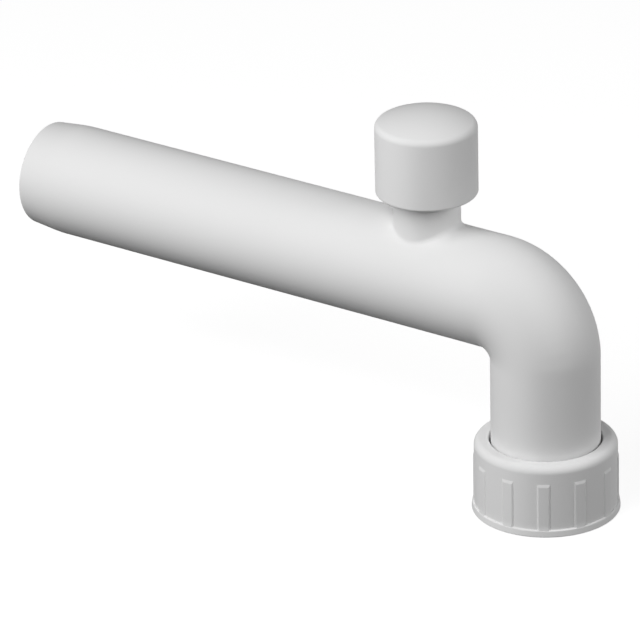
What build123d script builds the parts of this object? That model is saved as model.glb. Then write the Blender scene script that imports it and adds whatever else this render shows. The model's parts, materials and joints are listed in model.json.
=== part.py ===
from build123d import *
import os

os.makedirs("parts", exist_ok=True)

# Waste outlet bend with a vacuum valve. Millimetres, +Z up.
# The leg's axis is Z, the nut's mouth is at z = 0 and the arm runs towards -X.

# Union nut: its pipe thread of 1 1/2 inch sets the size of the pipe
thread_diameter = 47.8
thread_length = 12.0
mouth_chamfer = 1.0
nut_wall = 2.02  # outside the thread
nut_ring_thickness = 4.6  # ring that bears on the collar
nut_hole_clearance = 0.68  # round the leg
nut_rim_height = 2.55
nut_rim_shelf = 0.12  # flat of the rim, beside the barrel
nut_rim_bead = 0.5  # round of the rim's top, outside the flat
nut_rim_draft = 0.36  # the rim widens by this down to the mouth
nut_rim_round = 0.25
nut_shoulder_round = 2.7
nut_edge_round = 0.4
nut_undercut = 0.65  # depth of the washer's room behind the thread
nut_undercut_round = 0.6
rib_count = 12
rib_drop = 6.5  # nut's top to the top of the ribs
rib_proud = 0.33
rib_foot_width = 4.6
rib_crest_width = 3.4
rib_top_slope = 1.1
rib_flare = 3.0  # height over which the ribs flare into the rim
rib_phase = 1.2  # degrees from +X to the first rib

# Bend: one moulded pipe
collar_room = 2.1  # thread's radius to the collar
collar_width = 2.0  # collar beyond the leg
collar_thickness = 2.6
collar_clearance = 0.3  # to the nut's ring above it
foot_gap = 1.2  # thread's end to the leg's open foot
tail_length = 5.4  # leg below the collar
leg_wall = 2.1
spigot_wall = 2.8
arm_reach = 220.35  # leg's axis to the open end
arm_height = 79.35  # nut's mouth to the arm's axis
arm_root_draft = 0.05  # the arm is this much larger in radius where it leaves the elbow
elbow_inner_round = 0.3  # inner corner, at the arm
spigot_gap = 15.7  # stub's wall to the start of the true spigot
end_taper_length = 12.0
end_taper_depth = 1.25  # drop in radius over the taper
end_taper_blend = 30.0
end_lip_round = 0.25

# Stub on top of the arm
stub_x = -50.18
stub_diameter = 24.3
stub_wall = 2.0
stub_rise = 36.65  # arm's axis to the stub's top
stub_fillet = 2.2

# Cone washer under the collar
washer_grip = 0.05  # clearance on the leg
washer_overlap = 0.25  # reach past the thread's radius, which keeps it in the nut
washer_rim_height = 1.8
washer_tip_width = 1.3

# Valve seat, pressed into the stub
sleeve_length = 9.6
sleeve_clearance = 0.1
sleeve_wall = 2.45
sleeve_lead = 0.6
seat_floor = 2.0
seat_height = 8.0  # floor to the seat lips
air_tube_wall = 1.6
ring_wall = 2.0
lip_chamfer = 0.35
port_count = 6
port_width = 1.7
port_gap = 0.35  # stub's wall to the ports
port_margin = 0.4  # ports to the ring
port_sweep = 42.0  # degrees
hub_diameter = 5.6
hub_length = 7.0
spoke_count = 3
spoke_width = 1.5
spoke_depth = 3.5
snap_groove_height = 1.8
snap_groove_depth = 0.6
snap_groove_rise = 2.2  # floor's top to the groove

# O-ring on the sleeve
oring_section = 1.5  # before it is squeezed
oring_rise = 3.4  # sleeve's end to the middle of the groove
oring_groove_depth = 1.35
oring_groove_width = 2.0
oring_clearance = 0.05

# Membrane and its carrier
membrane_thickness = 1.2
membrane_edge_gap = 0.5  # inside the cap's wall
membrane_lap = 0.5  # inside the air tube
carrier_thickness = 1.2
carrier_reach = 1.8  # the plate stops this much inside the membrane's edge
carrier_spigot_wall = 1.0
carrier_spigot_depth = 1.0  # below the membrane
carrier_clearance = 0.1
carrier_spoke_width = 1.6
stem_diameter = 3.0
stem_clearance = 0.1
stem_hub_diameter = 5.0
stem_tail = 1.2  # below the guide hub
membrane_lift = 3.0

# Valve cap
cap_drop = 4.7  # skirt below the stub's top
cap_height = 31.3
cap_crown = 4.6
cap_wall = 1.75
cap_edge_round = 2.8
cap_skirt_round = 1.0
cap_skirt_lead = 0.4
cap_clearance = 0.15  # round the seat's ring
cap_ledge = 0.5  # width of the step that rests on the seat's ring
cap_roof = 2.0
cap_inner_round = 2.0
cap_bead_play = 0.2
stop_diameter = 6.4
stop_clearance = 0.1

# Shared sizes worked out from the ones above
thread_r = thread_diameter / 2
undercut_r = thread_r + nut_undercut
collar_r = thread_r - collar_room
leg_r = collar_r - collar_width
bore_r = leg_r - leg_wall
spigot_r = bore_r + spigot_wall
arm_root_r = spigot_r + arm_root_draft
elbow_radius = arm_root_r + elbow_inner_round
elbow_base = arm_height - elbow_radius
nut_hole_r = leg_r + nut_hole_clearance
thread_top = mouth_chamfer + thread_length
foot_height = thread_top + foot_gap
collar_bottom = foot_height + tail_length
collar_top = collar_bottom + collar_thickness
ring_underside = collar_top + collar_clearance
nut_height = ring_underside + nut_ring_thickness
rib_height = nut_height - rib_drop
stub_r = stub_diameter / 2
stub_bore_r = stub_r - stub_wall
stub_top = arm_height + stub_rise
spigot_start = spigot_gap + stub_r - stub_x
sleeve_r = stub_bore_r - sleeve_clearance
sleeve_end = stub_top - sleeve_length
air_bore_r = sleeve_r - sleeve_wall
air_tube_r = air_bore_r + air_tube_wall
floor_top = stub_top + seat_floor
lip_top = floor_top + seat_height
port_middle_r = stub_r + port_gap + port_width / 2
ring_inner_r = port_middle_r + port_width / 2 + port_margin
ring_r = ring_inner_r + ring_wall
groove_bottom = floor_top + snap_groove_rise
groove_r = ring_r - snap_groove_depth
cap_skirt_r = ring_r + cap_clearance
cap_r = cap_skirt_r + cap_wall
cap_wall_r = ring_r - cap_ledge
cap_skirt_bottom = stub_top - cap_drop
cap_top = cap_skirt_bottom + cap_height
membrane_r = cap_wall_r - membrane_edge_gap
membrane_hole_r = air_bore_r - membrane_lap
membrane_top = lip_top + membrane_thickness
carrier_top = membrane_top + carrier_thickness
stem_r = stem_diameter / 2
hub_bottom = stub_top - hub_length
valve_axis = Axis((stub_x, 0, 0), (0, 0, 1))
arm_plane = Plane(origin=(0, 0, arm_height), x_dir=(-1, 0, 0), z_dir=(0, 1, 0))
valve_plane = Plane(origin=(stub_x, 0, 0), x_dir=(1, 0, 0), z_dir=(0, -1, 0))


def corner(face, x, y):
    """The face's corner at a point of its own plane."""
    return face.vertices().sort_by_distance((x, y, 0))[0]


def turned(points, plane, axis):
    """A solid of revolution from the corners of its half section."""
    return revolve(plane * make_face(Polyline(*points, close=True)), axis)


def post(radius, bottom, top, x=0.0):
    """An upright cylinder between two heights."""
    rod = Cylinder(radius, top - bottom, align=(Align.CENTER, Align.CENTER, Align.MIN))
    return Pos(x, 0, bottom) * rod


def around(count, x=0.0, phase=0.0):
    """Evenly spaced turns about an upright axis."""
    step = 360 / count
    return [Pos(x, 0, 0) * Rot(0, 0, phase + i * step) for i in range(count)]


def make_outlet_bend():
    # arm with its drafted root, true spigot and tapered end
    taper_start = arm_reach - end_taper_length
    end_r = spigot_r - end_taper_depth
    section = make_face(Polyline(
        (elbow_radius, 0),
        (elbow_radius, arm_root_r),
        (spigot_start, spigot_r),
        (taper_start, spigot_r),
        (arm_reach, end_r),
        (arm_reach, 0),
        close=True,
    ))
    section = fillet(corner(section, taper_start, spigot_r), end_taper_blend)
    section = fillet(corner(section, arm_reach, end_r), end_lip_round)
    arm = revolve(arm_plane * section, Axis((0, 0, arm_height), (-1, 0, 0)))
    stub = post(stub_r, arm_height, stub_top, stub_x)
    arm += stub
    saddle = arm.edges().filter_by(lambda e: e.geom_type not in (GeomType.CIRCLE, GeomType.LINE))
    arm = fillet(saddle.filter_by(lambda e: abs(e.center().X - stub_x) < stub_r), stub_fillet)

    # elbow that grows from the leg's size to the arm's
    turn = Plane.XZ * CenterArc((-elbow_radius, elbow_base), elbow_radius, 0, 90)
    arm_mouth = Plane((-elbow_radius, 0, arm_height), x_dir=(0, 0, 1), z_dir=(-1, 0, 0))
    sections = [Pos(0, 0, elbow_base) * Circle(leg_r), arm_mouth * Circle(arm_root_r)]
    elbow = sweep(sections, path=turn, multisection=True)
    leg = post(leg_r, foot_height, elbow_base)
    collar = post(collar_r, collar_bottom, collar_top)

    # bore along the leg, the elbow and the arm, and up the stub
    end_spare = 1.0
    way = [
        Line((0, 0, foot_height - end_spare), (0, 0, elbow_base)),
        turn,
        Line((-elbow_radius, 0, arm_height), (-arm_reach - end_spare, 0, arm_height)),
    ]
    bore = sweep(Pos(0, 0, foot_height - end_spare) * Circle(bore_r), path=Curve(children=way))
    branch = post(stub_bore_r, arm_height, stub_top + end_spare, stub_x)
    return arm + elbow + leg + collar - bore - branch


def make_union_nut():
    barrel_r = thread_r + nut_wall
    ledge_r = barrel_r + nut_rim_shelf + nut_rim_bead
    rim_r = ledge_r + nut_rim_draft
    section = make_face(Polyline(
        (thread_r + mouth_chamfer, 0),
        (rim_r, 0),
        (ledge_r, nut_rim_height),
        (barrel_r, nut_rim_height),
        (barrel_r, nut_height),
        (nut_hole_r, nut_height),
        (nut_hole_r, ring_underside),
        (undercut_r, ring_underside),
        (undercut_r, thread_top),
        (thread_r, thread_top),
        (thread_r, mouth_chamfer),
        close=True,
    ))
    rounds = [
        (rim_r, 0, nut_rim_round),
        (ledge_r, nut_rim_height, nut_rim_bead),
        (barrel_r, nut_height, nut_shoulder_round),
        (nut_hole_r, nut_height, nut_edge_round),
        (undercut_r, ring_underside, nut_undercut_round),
    ]
    for x, y, radius in rounds:
        section = fillet(corner(section, x, y), radius)
    nut = revolve(Plane.XZ * section, Axis.Z)

    # grip ribs with sloping sides and tops, which flare into the rim
    root_r = barrel_r - rib_proud
    rib_r = barrel_r + rib_proud
    flare_foot = nut_rim_height - 2 * nut_rim_bead
    flare_top = flare_foot + rib_flare
    flare_r = rim_r - nut_rim_draft * flare_foot / nut_rim_height
    hoop = revolve(Plane.XZ * make_face([
        Polyline(
            (rib_r, flare_top),
            (rib_r, rib_height - rib_top_slope),
            (barrel_r, rib_height),
            (root_r, rib_height),
            (root_r, flare_foot),
            (flare_r, flare_foot),
        ),
        TangentArc((rib_r, flare_top), (flare_r, flare_foot), tangent=(0, -1)),
    ]), Axis.Z)
    foot, crest = rib_foot_width / 2, rib_crest_width / 2
    outer = rim_r + rib_proud
    bar = make_face(Polyline((root_r, -foot), (barrel_r, -foot), (rib_r, -crest), (outer, -crest),
                             (outer, crest), (rib_r, crest), (barrel_r, foot), (root_r, foot), close=True))
    rib = hoop & extrude(bar, nut_height)
    return nut + [turn * rib for turn in around(rib_count, phase=rib_phase)]


def make_sealing_washer():
    inner_r = leg_r + washer_grip
    outer_r = thread_r + washer_overlap
    return turned([
        (inner_r, foot_height),
        (inner_r + washer_tip_width, foot_height),
        (outer_r, collar_bottom - washer_rim_height),
        (outer_r, collar_bottom),
        (inner_r, collar_bottom),
    ], Plane.XZ, Axis.Z)


def make_valve_seat():
    oring_middle = sleeve_end + oring_rise
    oring_floor_r = sleeve_r - oring_groove_depth
    groove_top = groove_bottom + snap_groove_height
    seat = turned([
        (air_bore_r, sleeve_end),
        (sleeve_r - sleeve_lead, sleeve_end),
        (sleeve_r, sleeve_end + sleeve_lead),
        (sleeve_r, oring_middle - oring_groove_width / 2),
        (oring_floor_r, oring_middle - oring_groove_width / 2),
        (oring_floor_r, oring_middle + oring_groove_width / 2),
        (sleeve_r, oring_middle + oring_groove_width / 2),
        (sleeve_r, stub_top),
        (ring_r, stub_top),
        (ring_r, groove_bottom),
        (groove_r, groove_bottom),
        (groove_r, groove_top),
        (ring_r, groove_top),
        (ring_r, lip_top),
        (ring_inner_r + lip_chamfer, lip_top),
        (ring_inner_r, lip_top - lip_chamfer),
        (ring_inner_r, floor_top),
        (air_tube_r, floor_top),
        (air_tube_r, lip_top - lip_chamfer),
        (air_tube_r - lip_chamfer, lip_top),
        (air_bore_r + lip_chamfer, lip_top),
        (air_bore_r, lip_top - lip_chamfer),
    ], valve_plane, valve_axis)

    # guide hub for the stem, on spokes across the air tube
    spoke_end = air_bore_r + air_tube_wall / 2
    spoke = Pos(0, 0, hub_bottom) * Box(
        spoke_end, spoke_width, spoke_depth, align=(Align.MIN, Align.CENTER, Align.MIN))
    seat += [turn * spoke for turn in around(spoke_count, stub_x)]
    seat += post(hub_diameter / 2, hub_bottom, stub_top, stub_x)
    seat -= post(stem_r + stem_clearance, hub_bottom, stub_top, stub_x)

    # air ports through the floor, outside the stub's wall
    slot = SlotArc(CenterArc((0, 0), port_middle_r, -port_sweep / 2, port_sweep), port_width)
    port = Pos(0, 0, stub_top) * extrude(slot, seat_floor)
    return seat - [turn * port for turn in around(port_count, stub_x)]


def make_seat_o_ring():
    inner_r = sleeve_r - oring_groove_depth + oring_clearance
    squeezed = stub_bore_r - oring_clearance - inner_r
    height = oring_section**2 / squeezed
    middle = Pos(inner_r + squeezed / 2, sleeve_end + oring_rise)
    return revolve(valve_plane * middle * Ellipse(squeezed / 2, height / 2), valve_axis)


def make_valve_membrane():
    return turned([
        (membrane_hole_r, lip_top),
        (membrane_r, lip_top),
        (membrane_r, membrane_top),
        (membrane_hole_r, membrane_top),
    ], valve_plane, valve_axis)


def make_membrane_carrier():
    clip_r = membrane_hole_r - carrier_clearance
    open_r = clip_r - carrier_spigot_wall
    plate_r = membrane_r - carrier_reach
    carrier = turned([
        (open_r, lip_top - carrier_spigot_depth),
        (clip_r, lip_top - carrier_spigot_depth),
        (clip_r, membrane_top),
        (plate_r, membrane_top),
        (plate_r, carrier_top),
        (open_r, carrier_top),
    ], valve_plane, valve_axis)
    spoke = Pos(0, 0, membrane_top) * Box(
        clip_r, carrier_spoke_width, carrier_thickness, align=(Align.MIN, Align.CENTER, Align.MIN))
    carrier += [turn * spoke for turn in around(spoke_count, stub_x)]
    carrier += post(stem_hub_diameter / 2, membrane_top, carrier_top, stub_x)
    return carrier + post(stem_r, hub_bottom - stem_tail, carrier_top, stub_x)


def make_valve_cap():
    shoulder = cap_top - cap_crown
    bead_r = groove_r + cap_bead_play
    bead_bottom = groove_bottom + cap_bead_play
    bead_top = groove_bottom + snap_groove_height - cap_bead_play
    bead_slope = cap_skirt_r - bead_r
    inside = Polyline(
        (cap_wall_r, shoulder - cap_roof),
        (cap_wall_r, lip_top),
        (cap_skirt_r, lip_top),
        (cap_skirt_r, bead_top),
        (bead_r, bead_top),
        (bead_r, bead_bottom + bead_slope),
        (cap_skirt_r, bead_bottom),
        (cap_skirt_r, cap_skirt_bottom),
        (cap_r, cap_skirt_bottom),
        (cap_r, shoulder),
    )
    section = make_face([
        inside,
        TangentArc((0, cap_top), (cap_r, shoulder), tangent=(1, 0)),
        Line((0, cap_top), (0, cap_top - cap_roof)),
        TangentArc((0, cap_top - cap_roof), (cap_wall_r, shoulder - cap_roof), tangent=(1, 0)),
    ])
    rounds = [
        (cap_r, shoulder, cap_edge_round),
        (cap_wall_r, shoulder - cap_roof, cap_inner_round),
        (cap_r, cap_skirt_bottom, cap_skirt_round),
        (cap_skirt_r, cap_skirt_bottom, cap_skirt_lead),
    ]
    for x, y, radius in rounds:
        section = fillet(corner(section, x, y), radius)
    cap = revolve(valve_plane * section, valve_axis)

    # stop that the carrier meets at full lift
    stop_bottom = carrier_top + membrane_lift + stop_clearance
    return cap + post(stop_diameter / 2, stop_bottom, cap_top - cap_roof / 2, stub_x)


pieces = {
    "outlet_bend": make_outlet_bend(),
    "union_nut": make_union_nut(),
    "sealing_washer": make_sealing_washer(),
    "valve_seat": make_valve_seat(),
    "seat_o_ring": make_seat_o_ring(),
    "valve_membrane": make_valve_membrane(),
    "membrane_carrier": make_membrane_carrier(),
    "valve_cap": make_valve_cap(),
}
for name, piece in pieces.items():
    export_step(piece, f"parts/{name}.step")
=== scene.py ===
import bpy
import json
import math
from mathutils import Matrix, Vector


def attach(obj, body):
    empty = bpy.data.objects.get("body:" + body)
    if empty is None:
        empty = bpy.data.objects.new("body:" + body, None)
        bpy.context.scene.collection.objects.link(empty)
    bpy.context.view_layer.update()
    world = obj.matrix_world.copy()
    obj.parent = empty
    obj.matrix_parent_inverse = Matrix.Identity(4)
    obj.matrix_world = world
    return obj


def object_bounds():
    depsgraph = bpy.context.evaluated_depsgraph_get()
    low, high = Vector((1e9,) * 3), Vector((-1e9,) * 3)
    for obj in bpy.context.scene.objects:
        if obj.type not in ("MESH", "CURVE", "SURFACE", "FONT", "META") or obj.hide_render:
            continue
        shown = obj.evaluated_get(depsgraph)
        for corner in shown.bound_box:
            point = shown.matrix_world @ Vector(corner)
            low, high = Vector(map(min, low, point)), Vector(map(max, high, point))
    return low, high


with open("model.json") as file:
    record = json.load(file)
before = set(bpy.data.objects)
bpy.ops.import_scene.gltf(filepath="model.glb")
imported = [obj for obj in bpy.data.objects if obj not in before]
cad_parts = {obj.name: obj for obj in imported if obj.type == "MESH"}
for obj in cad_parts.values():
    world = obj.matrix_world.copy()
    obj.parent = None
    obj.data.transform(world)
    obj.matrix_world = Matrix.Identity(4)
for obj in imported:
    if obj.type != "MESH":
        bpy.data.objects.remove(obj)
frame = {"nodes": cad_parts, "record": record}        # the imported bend, fixed in place
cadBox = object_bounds()     # its box before anything is added
nodes = frame["nodes"]
mounts = {m["name"]: m for m in frame["record"]["mounts"]}
mm = 0.001
print("frame loaded:", len(nodes), "pieces")


# a socket that can be added, subtracted and multiplied
class Wire:
    def __init__(self, tree, socket=None):
        self.tree = tree
        self.socket = socket

    # any node: its type, its settings, and the values or wires of its inputs
    def node(self, kind, settings=None, inputs=None, output=0):
        made = self.tree.nodes.new(kind)
        for name, value in (settings or {}).items():
            setattr(made, name, value)
        for key, value in (inputs or {}).items():
            if isinstance(value, Wire):
                self.tree.links.new(value.socket, made.inputs[key])
            else:
                made.inputs[key].default_value = value
        return Wire(self.tree, made.outputs[output]) if made.outputs else None

    def sums(self, operation, first, second):
        return self.node("ShaderNodeMath", {"operation": operation}, {0: first, 1: second})

    def __add__(self, other):
        return self.sums("ADD", self, other)

    def __radd__(self, other):
        return self.sums("ADD", other, self)

    def __sub__(self, other):
        return self.sums("SUBTRACT", self, other)

    def __rsub__(self, other):
        return self.sums("SUBTRACT", other, self)

    def __mul__(self, other):
        return self.sums("MULTIPLY", self, other)

    def __rmul__(self, other):
        return self.sums("MULTIPLY", other, self)


# 1 for rays that show the background: straight to the camera, mirrored or through glass
def backgroundSeen(start):
    seen = start.node("ShaderNodeLightPath", output="Is Camera Ray")
    mirrored = start.node("ShaderNodeLightPath", output="Is Glossy Ray")
    through = start.node("ShaderNodeLightPath", output="Is Transmission Ray")
    return seen + mirrored + through


def newMaterial(name):
    material = bpy.data.materials.new(name)
    material.use_nodes = True
    material.node_tree.nodes.clear()
    return material, Wire(material.node_tree)


def noiseAt(start, place, scale, detail):
    settings = {"noise_dimensions": "3D"}
    inputs = {"Vector": place, "Scale": scale, "Detail": detail}
    return start.node("ShaderNodeTexNoise", settings, inputs)


def mixColour(start, factor, first, second):
    settings = {"data_type": "RGBA", "blend_type": "MIX"}
    return start.node("ShaderNodeMix", settings, {0: factor, 6: first, 7: second}, output=2)


# moulded plastic: slow changes of tone, a fine spark-eroded grain and uneven gloss
whiteLook = dict(
    light=(0.84, 0.84, 0.84, 1),
    dark=(0.80, 0.80, 0.80, 1),
    roughness=0.70,
    glossSpread=0.12,
    cloudScale=22.0,      # per metre
    grainScale=2600.0,
    grainHeight=0.00003,
    grainStrength=0.25,
    specular=0.05,
)
naturalLook = dict(
    light=(0.72, 0.72, 0.69, 1),
    dark=(0.64, 0.65, 0.62, 1),
    roughness=0.38,
    glossSpread=0.15,
    cloudScale=60.0,
    grainScale=3000.0,
    grainHeight=0.00003,
    grainStrength=0.2,
    specular=0.4,
)
rubberLook = dict(
    light=(0.045, 0.045, 0.046, 1),
    dark=(0.018, 0.018, 0.019, 1),
    roughness=0.68,
    glossSpread=0.2,
    cloudScale=120.0,
    grainScale=4200.0,
    grainHeight=0.00005,
    grainStrength=0.45,
    specular=0.35,
)


# how much of the slow clouds each effect takes, the rest being grain, and the detail of both noises
mouldedMix = dict(toneCloud=0.7, glossCloud=0.5, middle=0.5, cloudDetail=3.0, grainDetail=2.0)


def mouldedMaterial(name, look):
    mix = mouldedMix
    material, start = newMaterial(name)
    place = start.node("ShaderNodeTexCoord", output="Object")
    cloud = noiseAt(start, place, look["cloudScale"], mix["cloudDetail"])
    grain = noiseAt(start, place, look["grainScale"], mix["grainDetail"])
    toneAt = cloud * mix["toneCloud"] + grain * (1 - mix["toneCloud"])
    tone = mixColour(start, toneAt, look["dark"], look["light"])
    glossAt = cloud * mix["glossCloud"] + grain * (1 - mix["glossCloud"])
    gloss = look["roughness"] + (glossAt - mix["middle"]) * look["glossSpread"]
    bump = start.node("ShaderNodeBump", None, {
        "Height": grain,
        "Strength": look["grainStrength"],
        "Distance": look["grainHeight"],
    })
    shader = start.node("ShaderNodeBsdfPrincipled", None, {
        "Base Color": tone,
        "Roughness": gloss,
        "Normal": bump,
        "Specular IOR Level": look["specular"],
    })
    start.node("ShaderNodeOutputMaterial", None, {"Surface": shader})
    return material


finishes = {
    "white_plastic": mouldedMaterial("whitePlastic", whiteLook),
    "natural_plastic": mouldedMaterial("naturalPlastic", naturalLook),
    "black_rubber": mouldedMaterial("blackRubber", rubberLook),
}
for part in frame["record"]["subparts"]:
    mesh = nodes[part["node"]].data
    mesh.materials.clear()
    mesh.materials.append(finishes[part["material_slot"]])
print("finishes on:", ", ".join(finishes))


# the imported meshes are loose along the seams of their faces
# the bend's are joined, so that no line shows
seamSizes = dict(join=0.001 * mm, crease=math.radians(35))


def smoothSeams(piece):
    weld = piece.modifiers.new("joinSeams", "WELD")
    weld.merge_threshold = seamSizes["join"]
    split = piece.modifiers.new("keepCreases", "EDGE_SPLIT")
    split.split_angle = seamSizes["crease"]
    split.use_edge_sharp = False
    even = piece.modifiers.new("evenNormals", "WEIGHTED_NORMAL")
    even.mode = "FACE_AREA_WITH_ANGLE"
    even.keep_sharp = True


smoothSeams(nodes["outlet_bend"])
print("seams joined")


def deselectAll():
    if bpy.context.object and bpy.context.object.mode != "OBJECT":
        bpy.ops.object.mode_set(mode="OBJECT")
    bpy.ops.object.select_all(action="DESELECT")


# edit mode with only these points of a piece selected
def selectPoints(piece, points):
    bpy.ops.object.mode_set(mode="EDIT")
    bpy.ops.mesh.select_mode(type="VERT")
    bpy.ops.mesh.select_all(action="DESELECT")
    bpy.ops.object.mode_set(mode="OBJECT")
    for index in points:
        piece.data.vertices[index].select = True
    bpy.ops.object.mode_set(mode="EDIT")


# pipe thread inside the nut: one ridge wound up the bore, sunk into the wall at both ends
threadSizes = dict(
    pitch=2.309 * mm,
    crestRadius=22.42 * mm,
    sunk=0.06 * mm,            # root goes this far into the wall
    rootHalf=1.02 * mm,
    crestHalf=0.26 * mm,
    stepsPerTurn=96,
    fadeSteps=30,              # steps over which each end runs out
    sharpAngle=math.radians(25),
)


def makeThread():
    t = threadSizes
    bore = mounts["trap_thread"]
    rootRadius = bore["dims"]["r_mm"] * mm + t["sunk"]
    length = bore["dims"]["length_mm"] * mm
    lowest = bore["pos_m"][2] + t["rootHalf"]
    turns = int((length - 2 * t["rootHalf"]) / t["pitch"])
    depth = rootRadius - t["crestRadius"]

    # a small plane stood up against the wall, its inner edge pinched to the crest
    deselectAll()
    place = ((rootRadius + t["crestRadius"]) / 2, 0, lowest)
    bpy.ops.mesh.primitive_plane_add(size=depth, location=place, rotation=(math.pi / 2, 0, 0))
    ridge = bpy.context.object
    ridge.name = "nutThread"
    bpy.ops.object.transform_apply(location=True, rotation=True, scale=True)
    bpy.ops.object.mode_set(mode="EDIT")
    bpy.ops.transform.resize(value=(1, 1, 2 * t["rootHalf"] / depth), center_override=place)
    bpy.ops.object.mode_set(mode="OBJECT")
    selectPoints(ridge, [v.index for v in ridge.data.vertices if v.co.x < place[0]])
    bpy.ops.transform.resize(value=(1, 1, t["crestHalf"] / t["rootHalf"]), center_override=place)
    bpy.ops.object.mode_set(mode="OBJECT")

    wind = ridge.modifiers.new("wind", "SCREW")
    wind.axis = "Z"
    wind.angle = 2 * math.pi
    wind.screw_offset = t["pitch"]
    wind.iterations = turns
    wind.steps = wind.render_steps = t["stepsPerTurn"]
    bpy.ops.object.modifier_apply(modifier=wind.name)

    # each cross-section near an end moves out towards the wall
    sections = {}
    for v in ridge.data.vertices:
        turned = math.atan2(v.co.y, v.co.x) / (2 * math.pi)
        climbed = (v.co.z - lowest) / t["pitch"]
        step = round((turned + round(climbed - turned)) * t["stepsPerTurn"])
        sections.setdefault(step, []).append(v.index)
    lastStep = turns * t["stepsPerTurn"]
    for k in range(t["fadeSteps"]):
        out = 1 + (rootRadius / t["crestRadius"] - 1) * (1 - k / t["fadeSteps"])
        selectPoints(ridge, sections[k] + sections[lastStep - k])
        bpy.ops.transform.resize(value=(out, out, 1), center_override=(0, 0, 0))
        bpy.ops.object.mode_set(mode="OBJECT")

    bpy.ops.object.mode_set(mode="EDIT")
    bpy.ops.mesh.select_all(action="SELECT")
    bpy.ops.mesh.fill_holes(sides=4)
    bpy.ops.mesh.normals_make_consistent(inside=False)
    bpy.ops.object.mode_set(mode="OBJECT")
    bpy.ops.object.shade_smooth_by_angle(angle=t["sharpAngle"])
    return ridge


thread = makeThread()
thread.data.materials.append(finishes["white_plastic"])
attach(thread, "nut")
print("thread:", len(thread.data.polygons), "faces")


# pale floor: white to the camera with a faint shadow, greyer as a source of bounce light
floorLook = dict(
    size=14.0,
    below=0.3 * mm,
    shown=(0.25, 0.25, 0.25, 1),
    glow=0.88,
    glowColour=(1, 1, 1, 1),
    bounce=(0.05, 0.05, 0.05, 1),
)


def makeFloor():
    deselectAll()
    height = cadBox[0].z - floorLook["below"]
    bpy.ops.mesh.primitive_plane_add(size=floorLook["size"], location=(0, 0, height))
    floor = bpy.context.object
    floor.name = "floor"
    bpy.ops.object.transform_apply(location=True, rotation=True, scale=True)
    material, start = newMaterial("paleFloor")
    seen = backgroundSeen(start)
    shade = start.node("ShaderNodeBsdfDiffuse", None, {"Color": floorLook["shown"]})
    glow = start.node("ShaderNodeEmission", None, {
        "Color": floorLook["glowColour"],
        "Strength": floorLook["glow"],
    })
    white = start.node("ShaderNodeAddShader", None, {0: shade, 1: glow})
    plain = start.node("ShaderNodeBsdfDiffuse", None, {"Color": floorLook["bounce"]})
    shown = start.node("ShaderNodeMixShader", None, {0: seen, 1: plain, 2: white})
    start.node("ShaderNodeOutputMaterial", None, {"Surface": shown})
    floor.data.materials.append(material)
    floor.visible_shadow = False    # the lamp below the table shines through


makeFloor()
print("floor laid")


# studio light: a wide soft key from the front left, a weaker one low on the right,
# and one below the table, straight behind the object as the camera sees it
# level 1 shows a surface that faces the lamp in its own colour
keyLook = dict(azimuth=351.0, elevation=39.6, distance=1.0, size=0.98, level=0.91)
fillLook = dict(azimuth=117.0, elevation=18.0, distance=1.2, size=0.55, level=0.37)
backLook = dict(
    azimuth=215.41, elevation=-24.78, distance=1.4, size=0.4, level=0.55,
    shine=False,    # not mirrored in the gloss
)
worldLook = dict(colour=(1, 1, 1, 1), ambient=0.03, shown=1.0)
middle = (cadBox[0] + cadBox[1]) / 2


# the way from the object towards a lamp or the camera
def towards(azimuth, elevation):
    az, el = math.radians(azimuth), math.radians(elevation)
    return Vector((math.sin(az) * math.cos(el), -math.cos(az) * math.cos(el), math.sin(el)))


def makeLamp(name, look):
    lamp = bpy.data.lights.new(name, "AREA")
    lamp.shape = "DISK"
    lamp.size = look["size"]
    reach = look["distance"] ** 2 + (look["size"] / 2) ** 2
    lamp.energy = look["level"] * math.pi ** 2 * reach
    holder = bpy.data.objects.new(name, lamp)
    bpy.context.scene.collection.objects.link(holder)
    away = towards(look["azimuth"], look["elevation"])
    holder.location = middle + away * look["distance"]
    holder.rotation_euler = away.to_track_quat("Z", "Y").to_euler()
    holder.visible_camera = False
    holder.visible_glossy = look.get("shine", True)


def makeWorld():
    world = bpy.data.worlds.new("paleRoom")
    bpy.context.scene.world = world
    world.use_nodes = True
    world.node_tree.nodes.clear()
    start = Wire(world.node_tree)
    lift = worldLook["shown"] - worldLook["ambient"]
    strength = worldLook["ambient"] + backgroundSeen(start) * lift
    room = start.node("ShaderNodeBackground", None, {
        "Color": worldLook["colour"],
        "Strength": strength,
    })
    start.node("ShaderNodeOutputWorld", None, {"Surface": room})


makeLamp("softKey", keyLook)
makeLamp("lowFill", fillLook)
makeLamp("lowBack", backLook)
makeWorld()
print("lights set")


# camera where the photograph was taken from
photoCamera = dict(
    azimuth=35.41,
    elevation=24.78,
    roll=-1.24,
    aim=(-0.09828, 0.0, 0.04885),
    distance=2.3645,
    lens=363.93,
    sensor=36.0,
    nearest=0.05,
    furthest=60.0,
)


def makeCamera():
    c = photoCamera
    az, roll = math.radians(c["azimuth"]), math.radians(c["roll"])
    back = towards(c["azimuth"], c["elevation"])
    right = Vector((math.cos(az), math.sin(az), 0))
    up = back.cross(right)
    turnedRight = right * math.cos(roll) + up * math.sin(roll)
    turnedUp = up * math.cos(roll) - right * math.sin(roll)
    data = bpy.data.cameras.new("photoCamera")
    data.sensor_width = c["sensor"]
    data.lens = c["lens"]
    data.clip_start = c["nearest"]
    data.clip_end = c["furthest"]
    camera = bpy.data.objects.new("photoCamera", data)
    bpy.context.scene.collection.objects.link(camera)
    axes = Matrix((turnedRight, turnedUp, back)).transposed().to_4x4()
    camera.matrix_world = Matrix.Translation(Vector(c["aim"]) + back * c["distance"]) @ axes
    bpy.context.scene.camera = camera


makeCamera()
bpy.context.scene.view_settings.view_transform = "Standard"
print("camera placed")
